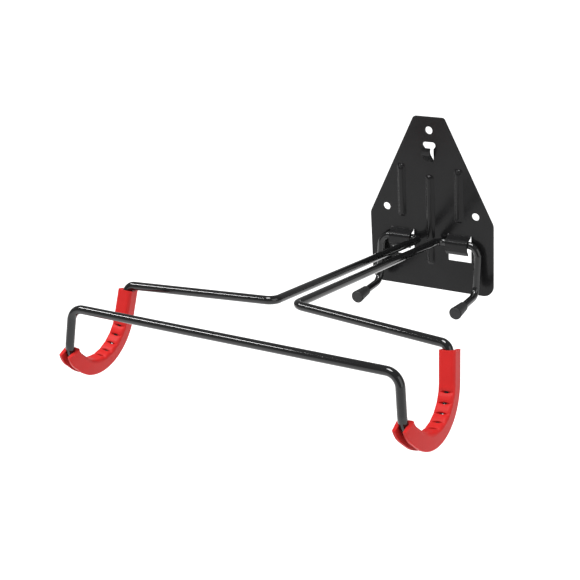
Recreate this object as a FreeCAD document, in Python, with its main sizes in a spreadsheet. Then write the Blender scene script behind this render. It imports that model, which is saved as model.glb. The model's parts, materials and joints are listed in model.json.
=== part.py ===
"""Folding bicycle wall rack: a pressed wall plate that carries one bent bar with two padded hooks.

Frame: +Z up, the wall is the plane y = 0 and the room is on its -Y side. The origin is the
centre of the circle through the three screw holes. Lengths are millimetres, angles degrees.
The bar is one continuous round rod, symmetric about x = 0. Its two short stretches beside the
arms turn in the two tabs of the plate, so arms, hooks and feet swing up together.
"""
import FreeCAD, Part
import math
import os

import Sketcher

SIZES = (
    # wall plate, seen from the room
    ("plate_thickness", 2.0),
    ("plate_width", 144.0),
    ("plate_top_width", 34.5),
    ("plate_below_centre", 119.5),
    ("plate_above_centre", 74.5),
    ("plate_shoulder_above_bottom", 81.5),
    ("plate_corner", 12.0),
    ("plate_top_corner", 4.0),
    ("screw_circle", 120.0),
    ("screw_hole", 8.6),
    # pressed ribs
    ("rib_width", 8.0),
    ("rib_height", 2.0),
    ("side_rib_spacing", 66.4),
    ("side_rib_bottom", -39.5),
    ("side_rib_length", 61.0),
    ("middle_rib_bottom", -91.5),
    ("middle_rib_length", 103.0),
    # hinge tabs, lanced out of the plate over the bar
    ("window_inner_edge", 20.0),
    ("window_width", 27.0),
    ("window_below_hinge", 22.5),
    ("tab_side_slit", 1.0),
    ("tab_lip", 5.6),
    ("tab_lip_angle", 35.0),
    ("tab_slope_angle", 18.0),
    ("tab_lip_below_hinge", 6.3),
    ("tab_root_bend", 1.5),
    ("tab_root_run", 1.4),
    ("tab_bend", 5.2),
    # accessory hook at the top of the plate
    ("catch_width", 9.4),
    ("catch_root", 25.0),
    ("catch_slope", 16.0),
    ("catch_slope_angle", 49.0),
    ("catch_tip", 5.0),
    ("catch_tip_angle", 27.0),
    ("catch_root_bend", 3.5),
    ("catch_bend", 7.0),
    ("catch_side_slit", 0.4),
    ("catch_head_width", 14.8),
    ("catch_head_bottom", 41.4),
    ("catch_head_top", 47.4),
    ("catch_head_top_corner", 3.4),
    ("catch_head_low_corner", 2.2),
    # bar
    ("bar_diameter", 8.0),
    ("running_gap", 0.3),
    ("hinge_below_centre", 61.2),
    ("leg_spacing", 114.4),
    ("leg_length", 53.5),
    ("foot_length", 52.4),
    ("foot_drop_angle", 7.5),
    ("foot_bend", 12.0),
    ("leg_bend", 11.5),
    ("arm_spacing", 21.4),
    ("arm_rise_angle", 9.5),
    ("arm_length", 305.9),
    ("arm_bend", 9.0),
    ("hook_spacing", 325.0),
    ("hook_forward", 12.4),
    ("hook_drop", 6.0),
    ("hook_top_bend", 8.0),
    ("hook_splay_angle", 6.5),
    ("hook_toe_in_angle", 2.7),
    ("hook_lean_angle", 7.0),
    ("hook_straight", 30.7),
    ("hook_radius", 39.8),
    ("hook_end_angle", 36.0),
    ("hook_toe", 21.4),
    ("toe_bend", 20.0),
    ("toe_height", 43.5),
    ("crossbar_bend", 12.5),
    # red sleeves
    ("sleeve_fit", 0.05),
    ("sleeve_below_bend", 4.4),
    ("sleeve_toe_turn", 32.0),
    ("sleeve_inner_depth", 5.8),
    ("sleeve_outer_depth", 8.8),
    ("sleeve_width", 15.6),
    ("sleeve_edge_width", 12.3),
    ("sleeve_slit", 6.8),
    ("sleeve_edge_round", 3.0),
    ("notch_width", 13.4),
    ("notch_height", 2.8),
    ("notch_floor", 2.5),
    ("notch_first_angle", 12.5),
    ("notch_pitch_angle", 14.9),
    # end caps
    ("cap_fit", 0.05),
    ("cap_length", 22.0),
    ("cap_end_thickness", 3.0),
    ("cap_mouth_diameter", 10.2),
    ("cap_end_diameter", 13.6),
    ("cap_end_round", 3.0),
)
NOTCHES = 5

doc = FreeCAD.newDocument("bicycle_wall_rack")
sheet = doc.addObject("Spreadsheet::Sheet", "sizes")
for row, (alias, value) in enumerate(SIZES, start=1):
    sheet.set(f"A{row}", alias)
    sheet.set(f"B{row}", str(value))
    sheet.setAlias(f"B{row}", alias)
doc.recompute()

HINGE_DEPTH = "(sizes.plate_thickness + sizes.running_gap + sizes.bar_diameter / 2)"
RIB_RADIUS = "((sizes.rib_width / 2) ^ 2 + sizes.rib_height ^ 2) / (2 * sizes.rib_height)"
X, Y, Z = (FreeCAD.Vector(*axis) for axis in ((1, 0, 0), (0, 1, 0), (0, 0, 1)))


def value(expression):
    """The number that an expression on the sheet has now."""
    return float(sheet.evalExpression(expression))


def bind(thing, **expressions):
    """Bind properties of a document object to expressions on the sheet; Base_x is Placement.Base.x."""
    for name, expression in expressions.items():
        thing.setExpression(name.replace("Base_", "Placement.Base."), expression)
    return thing


def sketch_on(body, plane, name):
    """A new sketch of a body on one of the body's own origin planes."""
    sketch = body.newObject("Sketcher::SketchObject", name)
    support = next(part for part in body.Origin.OriginFeatures if part.Role == plane)
    sketch.AttachmentSupport = [(support, "")]
    sketch.MapMode = "FlatFace"
    return sketch


def tie(sketch, constraint, expression):
    """Add a constraint of a size, given without that size, and bind it to an expression."""
    index = sketch.addConstraint(Sketcher.Constraint(*constraint, value(expression)))
    sketch.setExpression(f"Constraints[{index}]", expression)


def add_outline(sketch, corners):
    """Draw a closed polygon whose corners are pairs of expressions, each corner tied to the origin."""
    spots = [FreeCAD.Vector(value(across), value(up), 0) for across, up in corners]
    count = len(spots)
    first = sketch.GeometryCount
    for index in range(count):
        sketch.addGeometry(Part.LineSegment(spots[index], spots[(index + 1) % count]), False)
    for index in range(count):
        following = first + (index + 1) % count
        sketch.addConstraint(Sketcher.Constraint("Coincident", first + index, 2, following, 1))
    for index, (across, up) in enumerate(corners):
        tie(sketch, ("DistanceX", -1, 1, first + index, 1), across)
        tie(sketch, ("DistanceY", -1, 1, first + index, 1), up)


def add_circle(sketch, across, up, radius):
    """Draw a circle whose centre and radius are expressions."""
    centre = FreeCAD.Vector(value(across), value(up), 0)
    index = sketch.addGeometry(Part.Circle(centre, Z, value(radius)), False)
    tie(sketch, ("DistanceX", -1, 1, index, 3), across)
    tie(sketch, ("DistanceY", -1, 1, index, 3), up)
    tie(sketch, ("Radius", index), radius)


def edges_where(feature, test):
    """Names of a feature's edges whose middle point passes a test."""
    doc.recompute()
    names = []
    for number, edge in enumerate(feature.Shape.Edges, start=1):
        if test(edge, edge.valueAt((edge.FirstParameter + edge.LastParameter) / 2)):
            names.append(f"Edge{number}")
    return names


def round_edges(body, feature, names, radius, label):
    """Fillet some edges of a body's last feature."""
    fillet = body.newObject("PartDesign::Fillet", label)
    fillet.Base = (feature, names)
    bind(fillet, Radius=radius)
    return fillet


def along_y(edge):
    """True for a straight edge that runs through the sheet's thickness."""
    return isinstance(edge.Curve, Part.Line) and abs(edge.Curve.Direction.y) > 0.99


def bent_line(name, corners, radii):
    """A centreline of straight runs with a tangent arc at each inner corner."""
    starts = [corners[0]]
    pieces = []
    for before, corner, after, radius in zip(corners, corners[1:], corners[2:], radii):
        back = (before - corner).normalize()
        ahead = (after - corner).normalize()
        half_turn = (math.pi - back.getAngle(ahead)) / 2
        setback = radius * math.tan(half_turn)
        middle = (back + ahead).normalize()
        reach = radius / math.cos(half_turn) - radius
        begin, end = corner + back * setback, corner + ahead * setback
        pieces.append(Part.LineSegment(starts[-1], begin).toShape())
        pieces.append(Part.Arc(begin, corner + middle * reach, end).toShape())
        starts.append(end)
    pieces.append(Part.LineSegment(starts[-1], corners[-1]).toShape())
    line = doc.addObject("Part::Feature", name)
    line.Shape = Part.Wire(pieces)
    return line


def sweep(name, line, section):
    """A solid that carries a section along a centreline."""
    solid = doc.addObject("Part::Sweep", name)
    solid.Sections = [section]
    solid.Spine = (line, [f"Edge{number + 1}" for number in range(len(line.Shape.Edges))])
    solid.Solid = True
    return solid


def facing(direction, up, origin):
    """Placement whose local Z looks along a direction and whose local Y is as near to up as it can be."""
    across = up.cross(direction).normalize()
    upright = direction.cross(across).normalize()
    turn = FreeCAD.Rotation(across, upright, direction, "ZYX")
    return FreeCAD.Placement(origin, turn)


def joined(kind, name, shapes):
    """A fuse of several document objects."""
    result = doc.addObject(kind, name)
    result.Shapes = shapes
    return result


def cut(name, base, tool):
    """One document object with another taken away."""
    result = doc.addObject("Part::Cut", name)
    result.Base = base
    result.Tool = tool
    return result


def mirrored(name, source):
    """The twin of a piece on the other side of the rack's middle plane."""
    twin = doc.addObject("Part::Mirroring", name)
    twin.Source = source
    twin.Normal = X
    twin.Base = FreeCAD.Vector(0, 0, 0)
    return twin


# --- wall plate: the blank -------------------------------------------------------------------

HALF, HALF_TOP = "sizes.plate_width / 2", "sizes.plate_top_width / 2"
BOTTOM, TOP = "-sizes.plate_below_centre", "sizes.plate_above_centre"
SHOULDER = f"{BOTTOM} + sizes.plate_shoulder_above_bottom"

blank = doc.addObject("PartDesign::Body", "plate_blank")
outline = sketch_on(blank, "XZ_Plane", "plate_outline")
add_outline(outline, [
    (f"-{HALF}", BOTTOM), (HALF, BOTTOM), (HALF, SHOULDER),
    (HALF_TOP, TOP), (f"-{HALF_TOP}", TOP), (f"-{HALF}", SHOULDER),
])
pad = blank.newObject("PartDesign::Pad", "plate_sheet")
pad.Profile = outline
bind(pad, Length="sizes.plate_thickness")
top_height = value(TOP)
large = edges_where(pad, lambda edge, middle: along_y(edge) and middle.z < top_height - 1)
rounded = round_edges(blank, pad, large, "sizes.plate_corner", "plate_corners")
small = edges_where(rounded, lambda edge, middle: along_y(edge) and middle.z > top_height - 1)
rounded = round_edges(blank, rounded, small, "sizes.plate_top_corner", "plate_top_corners")

CIRCLE = "sizes.screw_circle / 2"
holes = sketch_on(blank, "XZ_Plane", "screw_holes")
for angle in (90, 210, 330):
    add_circle(holes, f"{CIRCLE} * cos({angle} deg)", f"{CIRCLE} * sin({angle} deg)", "sizes.screw_hole / 2")

HINGE = "-sizes.hinge_below_centre"
TAB_WRAP = "(sizes.bar_diameter / 2 + sizes.running_gap + sizes.plate_thickness / 2)"
TAB_ROOT_RISE = (
    f"{TAB_WRAP} / cos(sizes.tab_slope_angle * 1 deg)"
    f" + ({HINGE_DEPTH} - sizes.plate_thickness / 2) * tan(sizes.tab_slope_angle * 1 deg)"
)
WINDOW_TOP = f"({HINGE} + {TAB_ROOT_RISE} + sizes.tab_root_run)"
WINDOW_BOTTOM = f"{HINGE} - sizes.window_below_hinge"
WINDOW_INNER = "sizes.window_inner_edge"
WINDOW_OUTER = "(sizes.window_inner_edge + sizes.window_width)"
windows = sketch_on(blank, "XZ_Plane", "tab_windows")
for side in ("", "-"):
    add_outline(windows, [
        (side + WINDOW_INNER, WINDOW_BOTTOM), (side + WINDOW_OUTER, WINDOW_BOTTOM),
        (side + WINDOW_OUTER, WINDOW_TOP), (side + WINDOW_INNER, WINDOW_TOP),
    ])

STEM = "(sizes.catch_width / 2 + sizes.catch_side_slit)"
HEAD = "(sizes.catch_head_width / 2)"
catch_opening = sketch_on(blank, "XZ_Plane", "catch_opening")
add_outline(catch_opening, [
    (f"-{STEM}", "sizes.catch_root"), (STEM, "sizes.catch_root"),
    (STEM, "sizes.catch_head_bottom"), (HEAD, "sizes.catch_head_bottom"),
    (HEAD, "sizes.catch_head_top"), (f"-{HEAD}", "sizes.catch_head_top"),
    (f"-{HEAD}", "sizes.catch_head_bottom"), (f"-{STEM}", "sizes.catch_head_bottom"),
])
cutout = rounded
for sketch in (holes, windows, catch_opening):
    cutout = blank.newObject("PartDesign::Pocket", f"cut_{sketch.Name}")
    cutout.Profile = sketch
    cutout.Type = "ThroughAll"
    cutout.Midplane = True
head_side = value(HEAD)
rounded = cutout
for name, level in (("top", "sizes.catch_head_top"), ("low", "sizes.catch_head_bottom")):
    spot = FreeCAD.Vector(head_side, 0, value(level))
    corners = edges_where(rounded, lambda edge, middle: (
        along_y(edge) and abs(abs(middle.x) - spot.x) < 0.01 and abs(middle.z - spot.z) < 0.01))
    rounded = round_edges(blank, rounded, corners, f"sizes.catch_head_{name}_corner", f"catch_head_{name}")
blank.Tip = rounded

# --- wall plate: what is pressed out of it ---------------------------------------------------


def capsule(name, across, bottom, length, radius):
    """An upright round-ended rod whose axis lies behind the sheet, to press or to hollow a rib."""
    depth = f"{RIB_RADIUS} - sizes.plate_thickness - sizes.rib_height"
    low = f"{bottom} + sizes.rib_width / 2"
    high = f"{bottom} + {length} - sizes.rib_width / 2"
    shaft = doc.addObject("Part::Cylinder", f"{name}_shaft")
    bind(shaft, Radius=radius, Height=f"{length} - sizes.rib_width", Base_x=across, Base_y=depth, Base_z=low)
    parts = [shaft]
    for end, height in (("low", low), ("high", high)):
        ball = doc.addObject("Part::Sphere", f"{name}_{end}")
        parts.append(bind(ball, Radius=radius, Base_x=across, Base_y=depth, Base_z=height))
    return parts


SIDE_RIB = ("sizes.side_rib_bottom", "sizes.side_rib_length")
MIDDLE_RIB = ("sizes.middle_rib_bottom", "sizes.middle_rib_length")
RIBS = (
    ("left_rib", "-sizes.side_rib_spacing / 2", *SIDE_RIB),
    ("middle_rib", "0", *MIDDLE_RIB),
    ("right_rib", "sizes.side_rib_spacing / 2", *SIDE_RIB),
)
rib_crowns, rib_hollows = [], []
for name, across, bottom, length in RIBS:
    rib_crowns += capsule(f"{name}_crown", across, bottom, length, RIB_RADIUS)
    hollow_radius = f"{RIB_RADIUS} - sizes.plate_thickness"
    rib_hollows += capsule(f"{name}_hollow", across, bottom, length, hollow_radius)

hinge = FreeCAD.Vector(0, -value(HINGE_DEPTH), value(HINGE))
MID_SHEET = "-sizes.plate_thickness / 2"
mid_sheet = value(MID_SHEET)
tab_wrap = value(TAB_WRAP)
tab_slope = math.radians(value("sizes.tab_slope_angle"))
tab_lip = math.radians(value("sizes.tab_lip_angle"))


def over_bar(depth):
    """The point of the tab's sloping top, touching round the bar, at one distance from the wall."""
    rise = tab_wrap / math.cos(tab_slope) + (depth - hinge.y) * math.tan(tab_slope)
    return FreeCAD.Vector(0, depth, hinge.z + rise)


lip_top = FreeCAD.Vector(0, hinge.y - tab_wrap, hinge.z - value("sizes.tab_lip_below_hinge"))
lip_way = FreeCAD.Vector(0, math.sin(tab_lip), -math.cos(tab_lip))
tab_line = bent_line("tab_line", [
    FreeCAD.Vector(0, mid_sheet, value(WINDOW_TOP)),
    over_bar(mid_sheet),
    over_bar(hinge.y - tab_wrap),
    lip_top,
    lip_top + lip_way * value("sizes.tab_lip"),
], [value("sizes.tab_root_bend"), value("sizes.tab_bend"), value("sizes.tab_bend")])

catch_slope = math.radians(value("sizes.catch_slope_angle"))
catch_tip = math.radians(value("sizes.catch_tip_angle"))
catch_root_bend = value("sizes.catch_root_bend")
catch_start = FreeCAD.Vector(0, mid_sheet, value("sizes.catch_root"))
catch_knee = catch_start + Z * (catch_root_bend * math.tan((math.pi / 2 - catch_slope) / 2))
slope_way = FreeCAD.Vector(0, -math.cos(catch_slope), math.sin(catch_slope))
catch_crook = catch_knee + slope_way * value("sizes.catch_slope")
tip_way = FreeCAD.Vector(0, math.sin(catch_tip), math.cos(catch_tip))
catch_line = bent_line("catch_line", [
    catch_start - Z * value("sizes.plate_thickness"),
    catch_knee,
    catch_crook,
    catch_crook + tip_way * value("sizes.catch_tip"),
], [catch_root_bend, value("sizes.catch_bend")])


def strip(name, line, width, middle, start):
    """A strip of the sheet that follows a centreline, its width across the plate."""
    section = doc.addObject("Part::Plane", f"{name}_section")
    bind(section, Length=width, Width="sizes.plate_thickness")
    bind(section, Base_x=f"{middle} - ({width}) / 2", Base_y="-sizes.plate_thickness", Base_z=start)
    placed = doc.addObject("Part::Feature", f"{name}_line")
    placed.Shape = line.Shape.translated(X * value(middle))
    return sweep(name, placed, section)


TAB_WIDTH = "sizes.window_width - 2 * sizes.tab_side_slit"
TAB_MIDDLE = "sizes.window_inner_edge + sizes.window_width / 2"
right_tab = strip("right_tab", tab_line, TAB_WIDTH, TAB_MIDDLE, WINDOW_TOP)
left_tab = mirrored("left_tab", right_tab)
catch = strip("catch", catch_line, "sizes.catch_width", "0", "sizes.catch_root - sizes.plate_thickness")

plate_raised = joined("Part::MultiFuse", "plate_raised", [blank, *rib_crowns, right_tab, left_tab, catch])
inside_wall = doc.addObject("Part::Box", "inside_wall")
bind(inside_wall, Length="2 * sizes.plate_width", Width="sizes.plate_width", Height="sizes.plate_below_centre + sizes.plate_above_centre + 2")
bind(inside_wall, Base_x="-sizes.plate_width", Base_z=f"{BOTTOM} - 1")
plate_waste = joined("Part::MultiFuse", "plate_waste", [inside_wall, *rib_hollows])
wall_plate = cut("wall_plate", plate_raised, plate_waste)

# --- bar -------------------------------------------------------------------------------------


def turn(axis, angle):
    """A turn about an axis by an angle that is named on the sheet."""
    return FreeCAD.Rotation(axis, value(angle))


carrier = turn(X, "-sizes.arm_rise_angle")
hook_turn = carrier * turn(Z, "-sizes.hook_toe_in_angle") * turn(Y, "-sizes.hook_splay_angle")
hook_leg_turn = hook_turn * turn(X, "-sizes.hook_lean_angle")
outward, up_from_arm = carrier.multVec(-Y), carrier.multVec(Z)
hook_forward, hook_up = hook_turn.multVec(-Y), hook_turn.multVec(Z)
hook_leg_down = hook_leg_turn.multVec(-Z)

hinge_end = hinge + X * value("sizes.leg_spacing / 2")
leg_foot = hinge_end - up_from_arm * value("sizes.leg_length")
foot_way = (carrier * turn(X, "sizes.foot_drop_angle")).multVec(-Y)
foot_tip = leg_foot + foot_way * value("sizes.foot_length")
arm_root = hinge + X * value("sizes.arm_spacing / 2")
arm_tip = arm_root + outward * value("sizes.arm_length")
hook_top = hinge + X * value("sizes.hook_spacing / 2")
hook_top += outward * value("sizes.arm_length + sizes.hook_forward") - up_from_arm * value("sizes.hook_drop")
toe_angle = math.radians(value("sizes.hook_end_angle"))
toe_way = hook_forward * math.cos(toe_angle) + hook_up * math.sin(toe_angle)
hook_setback = value("sizes.hook_radius") / math.tan(hook_leg_down.negative().getAngle(toe_way) / 2)
hook_corner = hook_top + hook_leg_down * (value("sizes.hook_straight") + hook_setback)
toe = hook_corner + toe_way * (hook_setback + value("sizes.hook_toe"))
crossbar_end = toe + hook_up * value("sizes.toe_height")

HALF_BAR = (
    (foot_tip, None), (leg_foot, "sizes.foot_bend"), (hinge_end, "sizes.leg_bend"),
    (arm_root, "sizes.arm_bend"), (arm_tip, "sizes.arm_bend"), (hook_top, "sizes.hook_top_bend"),
    (hook_corner, "sizes.hook_radius"), (toe, "sizes.toe_bend"), (crossbar_end, "sizes.crossbar_bend"),
)
right_corners = [corner for corner, bend in HALF_BAR]
left_corners = [FreeCAD.Vector(-corner.x, corner.y, corner.z) for corner in right_corners]
bends = [value(bend) for corner, bend in HALF_BAR[1:]]
bar_line = bent_line("bar_line", left_corners + right_corners[::-1], bends + bends[::-1])


def bar_section(name, radius):
    """A circle at the left foot's end, square to the foot."""
    section = bind(doc.addObject("Part::Circle", name), Radius=radius)
    section.Placement = facing(-foot_way, Z, left_corners[0])
    return section


wire_frame = sweep("wire_frame", bar_line, bar_section("bar_section", "sizes.bar_diameter / 2"))
SLEEVE_BORE = "sizes.bar_diameter / 2 + sizes.sleeve_fit"
bar_room = sweep("bar_room", bar_line, bar_section("bar_room_section", SLEEVE_BORE))

# --- sleeves ---------------------------------------------------------------------------------

# The sleeve's own frame: the bar enters at the origin going down -Z, and the cradle is at -Y.
SLEEVE_STRAIGHT = "sizes.hook_straight - sizes.sleeve_below_bend"
SLEEVE_TURN = "90 - sizes.hook_lean_angle + sizes.hook_end_angle"
SLEEVE_TOE = "sizes.hook_toe - sizes.toe_bend * tan((90 - sizes.hook_end_angle) / 2 * 1 deg)"

channel = doc.addObject("PartDesign::Body", "sleeve_channel")
sleeve_path = sketch_on(channel, "YZ_Plane", "sleeve_path")
spot, heading = FreeCAD.Vector(0, 0, 0), -math.pi / 2
for number, (run, bend, angle) in enumerate((
    (SLEEVE_STRAIGHT, "sizes.hook_radius", SLEEVE_TURN),
    (SLEEVE_TOE, "sizes.toe_bend", "sizes.sleeve_toe_turn"),
)):
    line, arc = 2 * number, 2 * number + 1
    way = FreeCAD.Vector(math.cos(heading), math.sin(heading), 0)
    after_run = spot + way * value(run)
    sleeve_path.addGeometry(Part.LineSegment(spot, after_run), False)
    side = FreeCAD.Vector(way.y, -way.x, 0)
    centre, swing = after_run + side * value(bend), math.radians(value(angle))
    start = math.atan2(-side.y, -side.x)
    circle = Part.Circle(centre, Z, value(bend))
    sleeve_path.addGeometry(Part.ArcOfCircle(circle, start - swing, start), False)
    sleeve_path.addConstraint(Sketcher.Constraint("Tangent", line, 2, arc, 2))
    tie(sleeve_path, ("Distance", line), run)
    tie(sleeve_path, ("Radius", arc), bend)
    span = sleeve_path.addConstraint(Sketcher.Constraint("Angle", arc, swing))
    sleeve_path.setExpression(f"Constraints[{span}]", angle)
    heading -= swing
    spot = centre + FreeCAD.Vector(math.cos(start - swing), math.sin(start - swing), 0) * value(bend)
for constraint in (("Coincident", 0, 1, -1, 1), ("Vertical", 0), ("Tangent", 1, 1, 2, 1)):
    sleeve_path.addConstraint(Sketcher.Constraint(*constraint))

sleeve_section = sketch_on(channel, "XY_Plane", "sleeve_section")
WIDE, EDGE, SLIT = "sizes.sleeve_width / 2", "sizes.sleeve_edge_width / 2", "sizes.sleeve_slit / 2"
INNER_FACE, OUTER_EDGE = "-sizes.sleeve_inner_depth", "sizes.sleeve_outer_depth"
add_outline(sleeve_section, [
    (f"-{WIDE}", INNER_FACE), (WIDE, INNER_FACE), (EDGE, OUTER_EDGE), (SLIT, OUTER_EDGE),
    (SLIT, "0"), (f"-{SLIT}", "0"), (f"-{SLIT}", OUTER_EDGE), (f"-{EDGE}", OUTER_EDGE),
])

pipe = channel.newObject("PartDesign::AdditivePipe", "sleeve_pipe")
pipe.Profile = sleeve_section
pipe.Spine = (sleeve_path, ["Edge1", "Edge2", "Edge3", "Edge4"])
channel.Tip = pipe
doc.recompute()
half_width = value(WIDE)


def is_long_inner_corner(edge, middle):
    """True for the edges that run the length of the sleeve beside its inner face."""
    ends = [vertex.X for vertex in edge.Vertexes]
    return all(abs(abs(across) - half_width) < 0.001 for across in (*ends, middle.x))


inner_corners = edges_where(pipe, is_long_inner_corner)
channel.Tip = round_edges(channel, pipe, inner_corners, "sizes.sleeve_edge_round", "sleeve_rounding")

LENS_RADIUS = "(sizes.notch_width ^ 2 + sizes.notch_height ^ 2) / (4 * sizes.notch_height)"
notches = []
for number in range(NOTCHES):
    angle = f"(sizes.notch_first_angle + {number} * sizes.notch_pitch_angle) * 1 deg"
    halves = []
    for half, side in (("upper", "-"), ("lower", "+")):
        disc = doc.addObject("Part::Cylinder", f"notch_{number + 1}_{half}")
        disc.Placement.Rotation = FreeCAD.Rotation(X, 1)
        disc.setExpression("Placement.Rotation.Angle", f"90 deg - {angle}")
        aside = f"({LENS_RADIUS} - sizes.notch_height / 2)"
        floor = "(sizes.hook_radius - sizes.notch_floor)"
        bind(
            disc, Radius=LENS_RADIUS, Height="sizes.sleeve_inner_depth",
            Base_y=f"{floor} * cos({angle}) - sizes.hook_radius {side} (-{aside}) * sin({angle})",
            Base_z=f"-({SLEEVE_STRAIGHT}) - {floor} * sin({angle}) {side} (-{aside}) * cos({angle})",
        )
        halves.append(disc)
    lens = doc.addObject("Part::Common", f"notch_{number + 1}")
    lens.Base, lens.Tool = halves
    notches.append(lens)
sleeve_notched = cut("sleeve_notched", channel, joined("Part::MultiFuse", "notches", notches))
sleeve_start = hook_top + hook_leg_down * value("sizes.sleeve_below_bend")
sleeve_notched.Placement = FreeCAD.Placement(sleeve_start, hook_leg_turn)
right_sleeve = cut("right_sleeve", sleeve_notched, bar_room)
left_sleeve = mirrored("left_sleeve", right_sleeve)

# --- end caps --------------------------------------------------------------------------------

# The cap's own frame: the bar's end face is at z = 0 and the bar comes from -Z.
cap_body = doc.addObject("PartDesign::Body", "right_cap")
cap_profile = sketch_on(cap_body, "XZ_Plane", "cap_profile")
BORE = "(sizes.bar_diameter / 2 + sizes.cap_fit)"
MOUTH = "-(sizes.cap_length - sizes.cap_end_thickness)"
add_outline(cap_profile, [
    ("0", "0"), (BORE, "0"), (BORE, MOUTH), ("sizes.cap_mouth_diameter / 2", MOUTH),
    ("sizes.cap_end_diameter / 2", "sizes.cap_end_thickness"), ("0", "sizes.cap_end_thickness"),
])
cap_turned = cap_body.newObject("PartDesign::Revolution", "cap_turned")
cap_turned.Profile = cap_profile
cap_turned.ReferenceAxis = (cap_profile, ["V_Axis"])
cap_turned.Angle = 360
end_height = value("sizes.cap_end_thickness")
rim = edges_where(cap_turned, lambda edge, middle: (
    isinstance(edge.Curve, Part.Circle) and abs(middle.z - end_height) < 0.001))
cap_body.Tip = round_edges(cap_body, cap_turned, rim, "sizes.cap_end_round", "cap_rim")
cap_body.Placement = facing(foot_way, Z, foot_tip)
left_cap = mirrored("left_cap", cap_body)

# --- check and write -------------------------------------------------------------------------

doc.recompute()
for thing in doc.Objects:
    if {"Invalid", "Error"} & set(thing.State):
        raise RuntimeError(f"{thing.Name} did not build: {thing.State}")

NODES = (wall_plate, wire_frame, left_sleeve, right_sleeve, left_cap, cap_body)
os.makedirs("parts", exist_ok=True)
for node in NODES:
    node.Label = node.Name
    shape = node.Shape
    if shape.isNull() or not shape.isValid() or len(shape.Solids) != 1:
        raise RuntimeError(f"{node.Label} is not one sound solid")
    box = shape.BoundBox
    corners = " ".join(f"{size:.2f}" for size in (box.XMin, box.YMin, box.ZMin, box.XMax, box.YMax, box.ZMax))
    print(f"{node.Label}: {shape.Volume:.0f} mm3, box {corners}")
    shape.exportStep(f"parts/{node.Label}.step")
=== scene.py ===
"""Looks of a folding bicycle wall rack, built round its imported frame.

The file is laid out as an add-on: sizes and colours are scene properties, each group of like
pieces has its own operator, and main() calls the operators in order.
Everything is in metres in the frame's own axes: +Z up, the wall is y = 0, the room is at -Y.
"""
import json
import math
from contextlib import contextmanager

import bmesh
import bpy
from bpy.props import FloatProperty, FloatVectorProperty, IntProperty, PointerProperty
from mathutils import Matrix, Vector


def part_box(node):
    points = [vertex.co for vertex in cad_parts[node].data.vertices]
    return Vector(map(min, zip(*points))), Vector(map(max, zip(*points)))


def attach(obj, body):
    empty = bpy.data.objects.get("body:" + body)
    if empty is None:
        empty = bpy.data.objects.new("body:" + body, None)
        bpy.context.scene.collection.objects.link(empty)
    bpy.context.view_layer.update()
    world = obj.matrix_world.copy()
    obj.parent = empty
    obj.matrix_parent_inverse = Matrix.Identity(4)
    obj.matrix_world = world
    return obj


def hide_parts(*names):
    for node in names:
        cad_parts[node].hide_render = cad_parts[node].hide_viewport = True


bl_info = {
    "name": "Bicycle Wall Rack",
    "version": (1, 0, 0),
    "blender": (4, 5, 0),
    "location": "3D View > Sidebar > Rack",
    "description": "Builds a folding bicycle wall rack round its packed frame",
    "category": "Add Mesh",
}

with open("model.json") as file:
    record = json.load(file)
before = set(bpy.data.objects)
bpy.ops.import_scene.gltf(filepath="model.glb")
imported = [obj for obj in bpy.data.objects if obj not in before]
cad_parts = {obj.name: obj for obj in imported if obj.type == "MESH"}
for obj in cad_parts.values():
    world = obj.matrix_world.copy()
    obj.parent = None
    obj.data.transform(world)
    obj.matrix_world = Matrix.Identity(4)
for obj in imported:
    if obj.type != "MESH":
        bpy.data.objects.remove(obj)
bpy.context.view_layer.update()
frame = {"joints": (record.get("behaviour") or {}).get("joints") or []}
PLATE_LOW, PLATE_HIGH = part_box("wall_plate")
HINGE = Vector(frame["joints"][0]["pos_m"])
X, Y, Z = (Vector(axis) for axis in ((1, 0, 0), (0, 1, 0), (0, 0, 1)))
TINY = 1e-6  # spots that are nearer than this micrometre are the same
UPRIGHT = (math.pi / 2, 0, 0)  # turns a flat shape to face the room
CORNER_STEP = math.radians(9)  # the most that one edge of a rounded corner turns
CAP_STEP = math.radians(15)  # the same for the caps' profile
BEND_STEP = math.radians(6)  # the same for one section of the bar's bends
SHEET_STEP = math.radians(10)  # and of the sheet's bends
SLEEVE_STEP = math.radians(1.1)  # and of the sleeves, which have to be fine enough to sink


# --- sizes and colours -----------------------------------------------------------------------


def length(name, millimetres, description):
    """A length that is given in millimetres and held in metres."""
    return FloatProperty(
        name=name, description=description, default=millimetres / 1000, min=0,
        precision=5, subtype="DISTANCE", unit="LENGTH",
    )


def angle(name, degrees, description):
    """An angle that is given in degrees and held in radians."""
    return FloatProperty(
        name=name, description=description, default=math.radians(degrees),
        subtype="ANGLE", unit="ROTATION",
    )


def share(name, default, description):
    """A plain number from 0 to 1."""
    return FloatProperty(
        name=name, description=description, default=default, min=0, max=1, subtype="FACTOR",
    )


def colour(name, default, description):
    """A linear colour."""
    return FloatVectorProperty(
        name=name, description=description, default=default, min=0, max=1, size=3, subtype="COLOR",
    )


class RackPlateSizes(bpy.types.PropertyGroup):
    """Sizes of the sheet that the wall plate is pressed from."""

    width: length("Width", (PLATE_HIGH.x - PLATE_LOW.x) * 1000, "Width over the lower part")
    top_width: length("Top Width", 34.5, "Width of the short top edge")
    shoulder: length("Shoulder Height", 81.5, "From the lower edge to where the sides lean in")
    corner: length("Corner Radius", 12, "Rounding of the lower and shoulder corners")
    top_corner: length("Top Corner Radius", 4, "Rounding of the two top corners")
    thickness: length("Sheet Thickness", 2, "Thickness of the steel sheet")
    edge: length("Edge Softness", 0.3, "Rounding that the paint leaves on cut edges")
    screw_circle: length("Screw Circle", 120, "Diameter of the circle through the screw holes")
    screw_hole: length("Screw Hole", 8.6, "Diameter of each screw hole")
    hole_sides: IntProperty(name="Hole Sides", description="Edges round a hole", default=40, min=8)


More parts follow.
